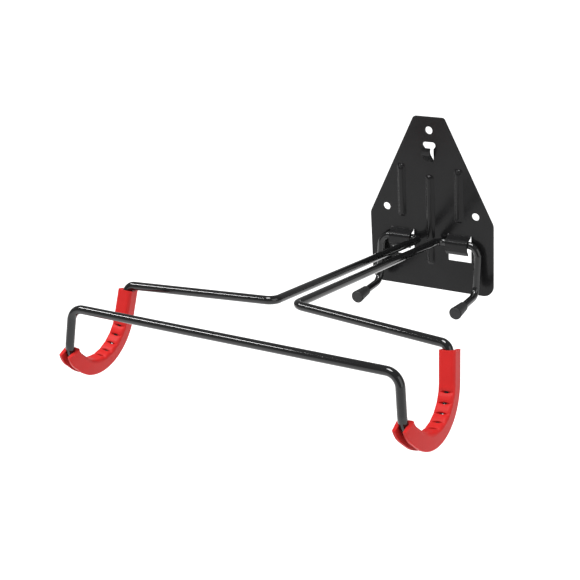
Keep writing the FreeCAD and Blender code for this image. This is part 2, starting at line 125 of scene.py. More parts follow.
class RackRibSizes(bpy.types.PropertyGroup):
    """Sizes of the plate's pressed ribs, and of the ring at the top of each side rib."""

    width: length("Width", 10, "Width of a rib at its soft foot")
    height: length("Height", 2, "How far a rib stands out")
    crown: length("Crown", 1, "Half the width of a rib's level top")
    slope: length("Slope", 4.2, "Width of the soft side round a rib's level top")
    spacing: length("Spacing", 66.4, "Distance between the two side ribs")
    side_foot: length("Side Rib Foot", 39.5, "From the screw circle's middle down to a side rib's foot")
    side_run: length("Side Rib Length", 61, "Length of a side rib")
    middle_foot: length("Middle Rib Foot", 91.5, "From the same middle down to the middle rib's foot")
    middle_run: length("Middle Rib Length", 103, "Length of the middle rib")
    patch_width: length("Patch Width", 14, "Width of the fine mesh that a rib is pressed in")
    patch_margin: length("Patch Margin", 3, "Fine mesh beyond each end of a rib")
    cell_width: length("Cell Width", 0.5, "Width of the fine mesh's cells")
    cell_height: length("Cell Height", 0.6, "Height of the fine mesh's cells")
    ring_height: length("Ring Height", 18, "Height of the rings above the screw circle's middle")
    ring_inner: length("Ring Inner Radius", 1.6, "Inner radius of a groove's deepest part")
    ring_outer: length("Ring Outer Radius", 2.4, "Outer radius of a groove's deepest part")
    ring_slope: length("Ring Slope", 1, "Width of a groove's soft sides")
    ring_depth: length("Ring Depth", 0.9, "Depth of a ring's groove")


class RackTabSizes(bpy.types.PropertyGroup):
    """Sizes of the two tabs that wrap the bar, and of the windows they are bent out of."""

    window_inner: length("Window Inner Edge", 20, "From the middle to a window")
    window_width: length("Window Width", 27, "Width of a window")
    window_above: length("Window Above Hinge", 8.7, "From the hinge up to a window's top")
    window_below: length("Window Below Hinge", 22.5, "From the hinge down to a window's foot")
    window_corner: length("Window Corner", 0.8, "Rounding of a window's lower corners")
    slit: length("Slit", 1, "Gap beside a tab where it is sheared")
    gap: length("Running Gap", 0.3, "Gap between a tab and the bar")
    slope: angle("Slope", 18, "Fall of a tab's top")
    lip: angle("Lip", 35, "How far a tab's lip is turned back under the bar")
    lip_drop: length("Lip Drop", 6.3, "From the hinge down to the lip")
    lip_run: length("Lip Length", 5.6, "Length of the lip")
    root_bend: length("Root Bend", 1.5, "Radius of the bend where a tab leaves the sheet")
    bend: length("Bend", 5.2, "Radius of a tab's other bends, round the bar")


class RackCatchSizes(bpy.types.PropertyGroup):
    """Sizes of the small accessory hook and of the opening it is bent out of."""

    width: length("Width", 9.4, "Width of the hook")
    slit: length("Slit", 0.4, "Gap beside the hook where it is sheared")
    root: length("Root Height", 25, "Where the hook leaves the sheet")
    neck: length("Neck Height", 40, "Where the opening starts to widen")
    shoulder: length("Shoulder Height", 43, "Where the opening is as wide as its head")
    top: length("Top Height", 47.4, "Top of the opening")
    head: length("Head Width", 14.8, "Greatest width of the opening")
    neck_round: length("Neck Rounding", 3, "Rounding where the opening starts to widen")
    shoulder_round: length("Shoulder Rounding", 2.4, "Rounding at the head's lower corners")
    head_round: length("Head Rounding", 3.4, "Rounding at the head's upper corners")
    rise: angle("Rise", 49, "How steeply the hook climbs out of the sheet")
    run: length("Run", 16, "Length of the climbing part")
    tip_turn: angle("Tip Turn", 27, "How far the tip leans back towards the sheet")
    tip: length("Tip", 5, "Length of the tip")
    root_bend: length("Root Bend", 3.5, "Radius of the bend at the root")
    bend: length("Bend", 7, "Radius of the bend at the tip")


class RackBarSizes(bpy.types.PropertyGroup):
    """Sizes of the bent bar."""

    diameter: length("Bar Diameter", 8, "Diameter of the round bar")
    leg_spacing: length("Leg Spacing", 114.4, "Distance between the two legs")
    leg_length: length("Leg Length", 53.5, "From the hinge line to the foot")
    foot_length: length("Foot Length", 52.4, "From the leg to the bar's end")
    foot_drop: angle("Foot Drop", 7.5, "How far a foot points below the arms")
    arm_spacing: length("Arm Spacing", 21.4, "Distance between the two arms")
    arm_rise: angle("Arm Rise", 9.5, "Slope of the arms above level")
    arm_length: length("Arm Length", 305.9, "From the hinge to where the bar turns sideways")
    hook_spacing: length("Hook Spacing", 325, "Distance between the tops of the hooks")
    hook_forward: length("Hook Forward", 12.4, "How far a hook's top lies beyond the arm's end")
    hook_drop: length("Hook Drop", 6, "How far a hook's top lies below the arm")
    hook_splay: angle("Hook Splay", 6.5, "Sideways lean of a hook")
    hook_toe_in: angle("Hook Toe-in", 2.7, "Turn of a hook towards the middle")
    hook_lean: angle("Hook Lean", 7, "Lean of a hook's straight part")
    hook_straight: length("Hook Straight", 30.7, "Straight part before the cradle")
    hook_radius: length("Cradle Radius", 39.8, "Radius of the bar's centreline in the cradle")
    hook_end: angle("Cradle End", 36, "Slope of the bar where the cradle ends")
    hook_toe: length("Toe Length", 21.4, "From the cradle to the kink of the toe")
    toe_height: length("Toe Height", 43.5, "From the kink up to the crossbar")
    foot_bend: length("Foot Bend", 12, "Radius of the bend from a foot to its leg")
    leg_bend: length("Leg Bend", 11.5, "Radius of the bend from a leg to the hinge stretch")
    arm_bend: length("Arm Bend", 9, "Radius of the bends at an arm's two ends")
    hook_bend: length("Hook Bend", 8, "Radius of the bend at a hook's top")
    toe_bend: length("Toe Bend", 20, "Radius of the bend at the toe")
    crossbar_bend: length("Crossbar Bend", 12.5, "Radius of the bends at the crossbar's ends")
    sides: IntProperty(name="Sides", description="Faces round the bar", default=32, min=8, max=128)


class RackSleeveSizes(bpy.types.PropertyGroup):
    """Sizes of the soft sleeves on the hooks."""

    width: length("Width", 15.6, "Width of the face that the tube rests on")
    edge_width: length("Edge Width", 12.3, "Width over the two open edges")
    inner_depth: length("Face Depth", 5.8, "From the bar's middle to the resting face")
    outer_depth: length("Wall Depth", 8.8, "From the bar's middle to the open edges")
    slit: length("Slit", 6.8, "Width of the open slit")
    fit: length("Fit", 0.05, "Gap between the bore and the bar")
    corner: length("Corner Radius", 3, "Rounding beside the resting face")
    rim_corner: length("Rim Radius", 0.8, "Rounding of the two open edges")
    below_bend: length("Start", 4.4, "From the hook's top corner to the sleeve's start")
    toe_turn: angle("Toe Turn", 32, "How far the sleeve follows the bar's kink")
    notch_width: length("Notch Width", 13.4, "Length of a notch across the face")
    notch_height: length("Notch Height", 2.8, "Opening of a notch")
    notch_first: angle("First Notch", 12.5, "Where the first notch lies in the cradle")
    notch_pitch: angle("Notch Pitch", 14.9, "From one notch to the next")
    notch_depth: length("Notch Depth", 2.3, "How far a notch goes below the resting face")
    notch_start: length("Notch Start", 0.3, "How far above the face a notch's cutter starts")
    valley_depth: length("Valley Depth", 1.1, "How far the face sinks towards a notch")
    valley_reach: length("Valley Reach", 3.6, "From a notch to where the face starts to sink")
    valley_core: length("Valley Core", 0.4, "How near to a notch's middle the face sinks fully")
    valley_inset: length("Valley Inset", 0.8, "How far a valley stops short of its notch's ends")
    notches: IntProperty(
        name="Notches", description="Notches in the resting face", default=5, min=1, max=12,
    )


class RackCapSizes(bpy.types.PropertyGroup):
    """Sizes of the rubber caps on the feet."""

    length: length("Length", 22, "Whole length of a cap")
    end: length("End Thickness", 3, "Rubber in front of the bar's end")
    mouth: length("Mouth Diameter", 10.2, "Diameter where the bar goes in")
    widest: length("End Diameter", 13.6, "Diameter at the end")
    fit: length("Fit", 0.05, "Gap between the bore and the bar")
    rim: length("Rim", 1, "Length of the steep rim at each end")
    flare: length("Flare", 0.1, "How far the mouth's rim widens")
    bore_edge: length("Bore Edge", 0.3, "Rounding of the mouth's inner edge")
    mouth_edge: length("Mouth Edge", 0.4, "Rounding of the mouth's outer edge")
    rim_edge: length("Rim Edge", 0.6, "Rounding between the mouth's rim and the tapered side")
    side_edge: length("Side Edge", 0.9, "Rounding between the side and the end's rim")
    end_edge: length("End Edge", 2.6, "Rounding of the end")
    sides: IntProperty(name="Sides", description="Faces round a cap", default=48, min=8, max=128)


class RackFinish(bpy.types.PropertyGroup):
    """Colours and gloss of the finishes."""

    plate_paint: colour("Plate Paint", (0.008, 0.008, 0.0083), "Satin black of the plate")
    plate_gloss: share("Plate Roughness", 0.19, "Roughness of the plate's paint")
    bar_paint: colour("Bar Paint", (0.006, 0.0061, 0.0063), "Gloss black of the bar")
    bar_gloss: share("Bar Roughness", 0.1, "Roughness of the bar's paint")
    vinyl: colour("Sleeve Vinyl", (0.45, 0.0165, 0.0155), "Red of the sleeves")
    rubber: colour("Cap Rubber", (0.007, 0.0072, 0.0075), "Dark grey of the caps")


class RackStage(bpy.types.PropertyGroup):
    """Camera, floor and lights."""

    camera_place: FloatVectorProperty(
        name="Camera Place", description="Where the camera stands",
        default=(0.53638, -1.15593, 0.43062), subtype="XYZ", unit="LENGTH",
    )
    camera_turn: FloatVectorProperty(
        name="Camera Turn", description="XYZ Euler turn of the camera",
        default=(1.165376, 0.064438, 0.530641), subtype="EULER",
    )
    lens: FloatProperty(
        name="Lens", description="Focal length in millimetres", default=77.51, min=10,
    )
    sensor: FloatProperty(
        name="Sensor", description="Sensor width in millimetres", default=36, min=10,
    )
    ambient: FloatProperty(
        name="Ambient", description="Strength of the even light", default=0.3, min=0,
    )
    sun_spread: angle("Sun Spread", 25, "How wide the sun-like light is")
    floor_level: length("Floor Depth", 420, "How far the floor lies below the screw circle")
    floor: colour("Floor", (0.9, 0.9, 0.9), "Colour of the pale floor")


# --- modelling by hand -----------------------------------------------------------------------


def select_only(*pieces):
    """Select these objects and nothing else, the first one active."""
    bpy.ops.object.select_all(action="DESELECT")
    for piece in pieces:
        piece.select_set(True)
    bpy.context.view_layer.objects.active = pieces[0]


@contextmanager
def editing(piece):
    """Edit mode on one object, with all of it selected at the start."""
    select_only(piece)
    bpy.ops.object.mode_set(mode="EDIT")
    bpy.ops.mesh.select_mode(type="VERT")
    bpy.ops.mesh.select_all(action="SELECT")
    yield
    bpy.ops.object.mode_set(mode="OBJECT")


def pick(piece, kind, test):
    """In edit mode, select just the verts, edges or faces whose every corner passes a test."""
    bpy.ops.mesh.select_mode(type={"verts": "VERT", "edges": "EDGE", "faces": "FACE"}[kind])
    bpy.ops.mesh.select_all(action="DESELECT")
    mesh = bmesh.from_edit_mesh(piece.data)
    place = piece.matrix_world
    for element in getattr(mesh, kind):
        corners = [element] if kind == "verts" else element.verts
        element.select_set(all(test(place @ corner.co) for corner in corners))
    mesh.select_flush_mode()
    bmesh.update_edit_mesh(piece.data)


def pull(offset):
    """Extrude what is selected by an offset."""
    bpy.ops.mesh.extrude_region_move(TRANSFORM_OT_translate={"value": offset})


def rounded(corners, radii, step=CORNER_STEP):
    """The points of a closed outline whose corners are rounded."""
    points = []
    for index, (corner, radius) in enumerate(zip(corners, radii)):
        before = (corners[index - 1] - corner).normalized()
        after = (corners[(index + 1) % len(corners)] - corner).normalized()
        if radius == 0:
            points.append(corner)
            continue
        half = before.angle(after) / 2
        centre = corner + (before + after).normalized() * (radius / math.sin(half))
        start = corner + before * (radius / math.tan(half)) - centre
        turn = math.pi - 2 * half
        axis = before.cross(after)
        count = max(2, math.ceil(turn / step))
        points += [
            centre + Matrix.Rotation(-turn * part / count, 3, axis) @ start
            for part in range(count + 1)
        ]
    return points


def trace(name, points, closed=True):
    """An outline drawn by extruding one corner from point to point."""
    bpy.ops.object.select_all(action="DESELECT")
    bpy.ops.mesh.primitive_plane_add(size=0.001, location=points[0])
    piece = bpy.context.object
    piece.name = piece.data.name = name
    with editing(piece):
        bpy.ops.mesh.merge(type="CENTER")
        for before, after in zip(points, points[1:]):
            pull(after - before)
        if closed:
            ends = (points[0], points[-1])
            pick(piece, "verts", lambda spot: min((spot - end).length for end in ends) < TINY)
            bpy.ops.mesh.edge_face_add()
    return piece


def route(corners, radii):
    """Runs and bends that join corners.

    A run is a length; a bend is a radius, an angle and an axis.
    """
    moves, spot = [], corners[0]
    for before, corner, after, radius in zip(corners, corners[1:], corners[2:], radii):
        ahead, onward = (corner - before).normalized(), (after - corner).normalized()
        turn = ahead.angle(onward)
        setback = radius * math.tan(turn / 2)
        axis = ahead.cross(onward).normalized()
        moves += [(corner - spot).length - setback, (radius, turn, axis)]
        spot = corner + onward * setback
    return moves + [(corners[-1] - spot).length]


def carry(spot, heading, moves, step=BEND_STEP):
    """Carry the selected section from a spot along runs and bends."""
    for move in moves:
        if isinstance(move, float):
            pull(heading * move)
            spot = spot + heading * move
            continue
        radius, turn, axis = move
        centre = spot + axis.cross(heading).normalized() * radius
        steps = max(2, math.ceil(turn / step))
        bpy.ops.mesh.spin(steps=steps, angle=turn, center=centre, axis=-axis)
        swing = Matrix.Rotation(turn, 3, axis)
        spot, heading = centre + swing @ (spot - centre), swing @ heading


def add_modifier(piece, kind, **settings):
    """Add a modifier, set it and apply it."""
    select_only(piece)
    modifier = piece.modifiers.new(kind.title(), kind)
    for name, setting in settings.items():
        setattr(modifier, name, setting)
    bpy.ops.object.modifier_apply(modifier=modifier.name)


def join(first, *others):
    """Make several objects one."""
    select_only(first, *others)
    bpy.ops.object.join()
    return first


def tidy(piece):
    """Put a piece's place into its mesh, close its seams and turn its faces outwards."""
    select_only(piece)
    bpy.ops.object.transform_apply(location=True, rotation=True, scale=True)
    with editing(piece):
        bpy.ops.mesh.remove_doubles(threshold=2 * TINY)
        bpy.ops.mesh.normals_make_consistent(inside=False)


def settle(piece, name, body, node, material, smooth=40):
    """Name a finished piece, shade it, and let it stand for a node of the frame."""
    tidy(piece)
    piece.name = piece.data.name = name
    select_only(piece)
    bpy.ops.object.shade_smooth_by_angle(angle=math.radians(smooth))
    add_modifier(piece, "WEIGHTED_NORMAL", mode="FACE_AREA", weight=50, keep_sharp=True)
    piece.data.materials.clear()
    piece.data.materials.append(material)
    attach(piece, body)
    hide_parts(node)
    return piece


def twin(piece):
    """A copy on the other side of the middle plane, with a mesh of its own."""
    select_only(piece)
    bpy.ops.object.duplicate(linked=False)
    copy = bpy.context.object
    with editing(copy):
        bpy.ops.transform.mirror(
            constraint_axis=(True, False, False), orient_type="GLOBAL", center_override=(0, 0, 0),
        )
    return copy


# --- finishes --------------------------------------------------------------------------------


class Value:
    """A socket that can be used in plain arithmetic."""

    def __init__(self, shader, socket):
        self.shader, self.socket = shader, socket

    def maths(self, operation, *values):
        settings = {"operation": operation}
        return self.shader.node("ShaderNodeMath", settings, dict(enumerate(values)))

    def __add__(self, other):
        return self.maths("ADD", self, other)

    def __mul__(self, other):
        return self.maths("MULTIPLY", self, other)

    def __sub__(self, other):
        return self.maths("SUBTRACT", self, other)

    def __rsub__(self, other):
        return self.maths("SUBTRACT", other, self)

    def __gt__(self, other):
        return self.maths("GREATER_THAN", self, other)

    __radd__, __rmul__ = __add__, __mul__


class Shader:
    """One material and the nodes behind its surface."""

    def __init__(self, name):
        self.material = bpy.data.materials.new(name)
        self.material.use_nodes = True
        self.tree = self.material.node_tree
        self.surface = self.tree.nodes["Principled BSDF"]
        self.place = self.node("ShaderNodeTexCoord", output="Object")

    def node(self, kind, settings=None, values=None, output=0):
        """Add a node, set it, feed its sockets and give back one of its outputs."""
        node = self.tree.nodes.new(kind)
        for name, setting in (settings or {}).items():
            if name == "stops":
                elements = node.color_ramp.elements
                for index, (position, tone) in enumerate(setting):
                    stop = elements[index] if index < 2 else elements.new(position)
                    stop.position, stop.color = position, (*tone, 1)
            else:
                setattr(node, name, setting)
        for name, value in (values or {}).items():
            self.feed(node.inputs[name], value)
        return Value(self, node.outputs[output])

    def feed(self, socket, value):
        if isinstance(value, Value):
            self.tree.links.new(value.socket, socket)
        else:
            socket.default_value = value

    def noise(self, scale, detail=2.0, stretch=None):
        """Noise on the object's own coordinates, in features per metre."""
        place = self.place
        if stretch:
            place = self.node("ShaderNodeMapping", values={"Vector": place, "Scale": stretch})
        values = {"Vector": place, "Scale": scale, "Detail": detail}
        return self.node("ShaderNodeTexNoise", values=values)

    def blend(self, factor, first, second):
        """A mix of two colours."""
        values = {0: factor, 6: (*first, 1), 7: (*second, 1)}
        return self.node("ShaderNodeMix", {"data_type": "RGBA"}, values, output=2)

    def bump(self, height, distance, strength, below=None):
        """A relief of a height field."""
        values = {"Height": height, "Distance": distance, "Strength": strength}
        if below:
            values["Normal"] = below
        return self.node("ShaderNodeBump", values=values)

    def finish(self, **sockets):
        """Feed the surface's sockets, named with underscores for spaces."""
        for name, value in sockets.items():
            title = name.replace("_", " ").title().replace("Ior", "IOR")
            self.feed(self.surface.inputs[title], value)
        return self.material


def scaled(tone, factor):
    """A colour made lighter or darker."""
    return tuple(min(1, channel * factor) for channel in tone)


def black_paint(name, tone, roughness, peel, coat, shine):
    """Baked black paint with a faint orange peel, cloudy gloss and a few specks of dust."""
    shader = Shader(name)
    cloud = shader.noise(45, detail=3)
    specks = shader.noise(2600, detail=1) > 0.74
    relief = shader.noise(700) + specks * 0.6
    return shader.finish(
        base_color=shader.blend(cloud, scaled(tone, 0.8), scaled(tone, 1.35)),
        roughness=cloud * 0.1 + specks * 0.15 + (roughness - 0.05),
        normal=shader.bump(relief, distance=0.00012, strength=peel),
        specular_ior_level=shine,
        coat_weight=coat,
        coat_roughness=0.03,
    )


def soft_vinyl(name, tone):
    """Dip-moulded red vinyl: satin, a little cloudy, with fine flow lines and grain."""
    shader = Shader(name)
    cloud = shader.noise(60, detail=3)
    flow = shader.noise(1, detail=3, stretch=(900, 900, 40))
    grain = shader.noise(1800)
    lines = shader.bump(flow, distance=0.0002, strength=0.12)
    return shader.finish(
        base_color=shader.blend(cloud * 0.7 + flow * 0.3, scaled(tone, 0.86), scaled(tone, 1.12)),
        roughness=cloud * 0.14 + grain * 0.1 + 0.32,
        specular_ior_level=0.1,
        normal=shader.bump(grain, distance=0.00008, strength=0.35, below=lines),
        subsurface_weight=0.12,
        subsurface_scale=0.004,
        subsurface_radius=(1.0, 0.2, 0.1),
    )


def cap_rubber(name, tone):
    """Dull moulded rubber with a pebbled skin."""
    shader = Shader(name)
    cloud = shader.noise(150, detail=3)
    pebbles = shader.noise(1300, detail=3)
    return shader.finish(
        base_color=shader.blend(cloud, scaled(tone, 0.75), scaled(tone, 1.6)),
        roughness=pebbles * 0.2 + 0.55,
        normal=shader.bump(pebbles, distance=0.00025, strength=0.6),
    )


# --- pieces ----------------------------------------------------------------------------------


def spread(low, high, count):
    """Evenly spaced numbers from one value to another."""
    return [low + (high - low) * part / count for part in range(count + 1)]


def bar_frame(sizes):
    """The turned axes that the bar is set out in, and the corners and bends of its right half."""
    carrier = Matrix.Rotation(-sizes.arm_rise, 3, "X")
    toe_in = Matrix.Rotation(-sizes.hook_toe_in, 3, "Z")
    hook = carrier @ toe_in @ Matrix.Rotation(-sizes.hook_splay, 3, "Y")
    leg = hook @ Matrix.Rotation(-sizes.hook_lean, 3, "X")
    out, up, down = carrier @ -Y, carrier @ Z, leg @ -Z
    foot = (carrier @ Matrix.Rotation(sizes.foot_drop, 3, "X")) @ -Y
    hinge_end = HINGE + X * sizes.leg_spacing / 2
    ankle = hinge_end - up * sizes.leg_length
    arm_root = HINGE + X * sizes.arm_spacing / 2
    arm_end = arm_root + out * sizes.arm_length
    reach = sizes.arm_length + sizes.hook_forward
    hook_top = HINGE + X * sizes.hook_spacing / 2 + out * reach - up * sizes.hook_drop
    toe_way = hook @ (-Y * math.cos(sizes.hook_end) + Z * math.sin(sizes.hook_end))
    setback = sizes.hook_radius * math.tan(down.angle(toe_way) / 2)
    hook_corner = hook_top + down * (sizes.hook_straight + setback)
    toe = hook_corner + toe_way * (setback + sizes.hook_toe)
    corners = [
        ankle + foot * sizes.foot_length, ankle, hinge_end, arm_root, arm_end,
        hook_top, hook_corner, toe, toe + hook @ Z * sizes.toe_height,
    ]
    bends = [
        sizes.foot_bend, sizes.leg_bend, sizes.arm_bend, sizes.arm_bend,
        sizes.hook_bend, sizes.hook_radius, sizes.toe_bend, sizes.crossbar_bend,
    ]
    return {"leg": leg, "foot": foot, "hook_top": hook_top, "corners": corners, "bends": bends}


class RACK_OT_wall_plate(bpy.types.Operator):
    """Press the wall plate from one sheet, with its ribs, hinge tabs and accessory hook"""

    bl_idname = "rack.wall_plate"
    bl_label = "Wall Plate"

    def execute(self, context):
        scene = context.scene
        sizes, ribs, tabs = scene.rack_plate, scene.rack_ribs, scene.rack_tabs
        catch, bar = scene.rack_catch, scene.rack_bar
        middle = -sizes.thickness / 2

        def at(across, up, depth=middle):
            return Vector((across, depth, up))

        def loop(name, corners, radii=None):
            spots = [at(*corner) for corner in corners]
            return trace(name, rounded(spots, radii or [0] * len(spots)))

        half, top = sizes.width / 2, sizes.top_width / 2
        low, high = PLATE_LOW.z, PLATE_HIGH.z
        shoulder = low + sizes.shoulder
        big, small = sizes.corner, sizes.top_corner
        outline = [
            (-half, low), (half, low), (half, shoulder), (top, high), (-top, high), (-half, shoulder),
        ]
        sheet = loop("wall_sheet", outline, [big, big, big, small, small, big])
        parts = []
        for turn in (90, 210, 330):
            spot = Matrix.Rotation(-math.radians(turn), 3, "Y") @ (X * sizes.screw_circle / 2)
            bpy.ops.object.select_all(action="DESELECT")
            bpy.ops.mesh.primitive_circle_add(
                vertices=sizes.hole_sides, radius=sizes.screw_hole / 2,
                location=at(spot.x, spot.z), rotation=UPRIGHT,
            )
            parts.append(bpy.context.object)

        window_top, window_low = HINGE.z + tabs.window_above, HINGE.z - tabs.window_below
        near, far = tabs.window_inner, tabs.window_inner + tabs.window_width
        tab_near, tab_far = near + tabs.slit, far - tabs.slit
        corner = tabs.window_corner
        for side in (1, -1):
            spots = [
                (near, window_low), (far, window_low), (far, window_top),
                (tab_far, window_top), (tab_near, window_top), (near, window_top),
            ]
            spots = [(side * across, up) for across, up in spots]
            parts.append(loop("window", spots, [corner, corner, 0, 0, 0, 0]))
        stem, root = catch.width / 2, catch.root
        gap, head = stem + catch.slit, catch.head / 2
        half_opening = [
            (stem, root), (gap, root), (gap, catch.neck), (head, catch.shoulder), (head, catch.top),
        ]
        rounding = [0, 0, catch.neck_round, catch.shoulder_round, catch.head_round]
        parts.append(loop(
            "catch_opening",
            half_opening + [(-across, up) for across, up in half_opening[::-1]],
            rounding + rounding[::-1],
        ))

        beside = ribs.spacing / 2
        rib_places = (
            (-beside, -ribs.side_foot, ribs.side_run),
            (0, -ribs.middle_foot, ribs.middle_run),
            (beside, -ribs.side_foot, ribs.side_run),
        )
        for across, bottom, run in rib_places:
            height = run + 2 * ribs.patch_margin
            spot = at(across, bottom + run / 2)
            bpy.ops.object.select_all(action="DESELECT")
            bpy.ops.mesh.primitive_grid_add(
                x_subdivisions=round(ribs.patch_width / ribs.cell_width),
                y_subdivisions=round(height / ribs.cell_height),
                size=1, location=spot, rotation=UPRIGHT,
            )
            patch = bpy.context.object
            with editing(patch):
                bpy.ops.transform.resize(value=(ribs.patch_width, 1, height), center_override=spot)
            parts.append(patch)
        join(sheet, *parts)
        with editing(sheet):
            bpy.ops.mesh.select_mode(type="EDGE")
            bpy.ops.mesh.select_all(action="DESELECT")
            bpy.ops.mesh.select_non_manifold(
                extend=False, use_wire=True, use_boundary=True,
                use_multi_face=False, use_non_contiguous=False, use_verts=False,
            )
            bpy.ops.mesh.fill(use_beauty=True)
        tidy(sheet)
        with editing(sheet):
            rib_end = ribs.width / 2 - ribs.crown
            crown = ribs.crown + ribs.cell_width / 5
            for across, bottom, run in rib_places:
                pick(sheet, "verts", lambda spot: (
                    abs(spot.x - across) < crown and bottom + rib_end < spot.z < bottom + run - rib_end))
                bpy.ops.transform.translate(
                    value=(0, -ribs.height, 0), use_proportional_edit=True,
                    proportional_edit_falloff="SMOOTH", proportional_size=ribs.slope,
                )
            for side in (1, -1):
                ring = at(side * beside, ribs.ring_height)
                pick(sheet, "verts", lambda spot: (
                    ribs.ring_inner < math.hypot(spot.x - ring.x, spot.z - ring.z) < ribs.ring_outer))
                bpy.ops.transform.translate(
                    value=(0, ribs.ring_depth, 0), use_proportional_edit=True,
                    proportional_edit_falloff="SMOOTH", proportional_size=ribs.ring_slope,
                )
            wrap = bar.diameter / 2 + tabs.gap + sizes.thickness / 2

            def over_bar(depth):
                fall = (depth - HINGE.y) * math.tan(tabs.slope)
                return at(0, HINGE.z + wrap / math.cos(tabs.slope) + fall, depth)

            lip_way = Vector((0, math.sin(tabs.lip), -math.cos(tabs.lip)))
            lip_top = at(0, HINGE.z - tabs.lip_drop, HINGE.y - wrap)
            tab = [
                at(0, window_top), over_bar(middle), over_bar(HINGE.y - wrap), lip_top,
                lip_top + lip_way * tabs.lip_run,
            ]
            tab_moves = route(tab, [tabs.root_bend, tabs.bend, tabs.bend])
            inner, outer = (near + tab_near) / 2, (tab_far + far) / 2
            for side in (1, -1):
                pick(sheet, "edges", lambda spot: (
                    abs(spot.z - window_top) < 10 * TINY and inner < side * spot.x < outer))
                carry(tab[0], -Z, tab_moves, step=SHEET_STEP)
            climb = Vector((0, -math.cos(catch.rise), math.sin(catch.rise)))
            tip_way = Vector((0, math.sin(catch.tip_turn), math.cos(catch.tip_turn)))
            knee = at(0, root + catch.root_bend * math.tan((math.pi / 2 - catch.rise) / 2))
            crook = knee + climb * catch.run
            hook = [at(0, root), knee, crook, crook + tip_way * catch.tip]
            pick(sheet, "edges", lambda spot: (
                abs(spot.z - root) < 10 * TINY and abs(spot.x) < stem + 10 * TINY))
            # The knee's bend starts at the root, so the first run has no length.
            hook_moves = route(hook, [catch.root_bend, catch.bend])[1:]
            carry(hook[0], Z, hook_moves, step=SHEET_STEP)
        add_modifier(sheet, "SOLIDIFY", thickness=sizes.thickness, offset=0.0, use_even_offset=True)
        tidy(sheet)
        with editing(sheet):
            # The rings are pressed through the sheet, but its back stays flat on the wall.
            pick(sheet, "verts", lambda spot: spot.y > TINY)
            bpy.ops.transform.resize(value=(1, 0, 1), center_override=(0, 0, 0))
        add_modifier(
            sheet, "BEVEL", width=sizes.edge, segments=2,
            limit_method="ANGLE", angle_limit=math.radians(50),
        )
        finish = scene.rack_finish
        paint = black_paint(
            "satin_black_paint", finish.plate_paint, finish.plate_gloss, peel=0.35, coat=0.0, shine=0.165,
        )
        settle(sheet, "wall_plate_pressed", "plate", "wall_plate", paint, smooth=35)
        return {"FINISHED"}


class RACK_OT_bent_bar(bpy.types.Operator):
    """Bend the one round bar from foot to foot"""

    bl_idname = "rack.bent_bar"
    bl_label = "Bent Bar"

    def execute(self, context):
        sizes = context.scene.rack_bar
        plan = bar_frame(sizes)
        right = plan["corners"]
        corners = [Vector((-spot.x, spot.y, spot.z)) for spot in right] + right[::-1]
        heading = (corners[1] - corners[0]).normalized()
        bpy.ops.object.select_all(action="DESELECT")
        bpy.ops.mesh.primitive_circle_add(
            vertices=sizes.sides, radius=sizes.diameter / 2, location=corners[0],
            rotation=heading.to_track_quat("Z", "X").to_euler(),
        )
        bar = bpy.context.object
        with editing(bar):
            carry(corners[0], heading, route(corners, plan["bends"] + plan["bends"][::-1]))
            bpy.ops.mesh.select_all(action="SELECT")
            bpy.ops.mesh.fill_holes(sides=0)
        finish = context.scene.rack_finish
        paint = black_paint(
            "gloss_black_paint", finish.bar_paint, finish.bar_gloss, peel=0.06, coat=0.25, shine=0.34,
        )
        settle(bar, "bent_bar", "carrier", "wire_frame", paint)
        return {"FINISHED"}


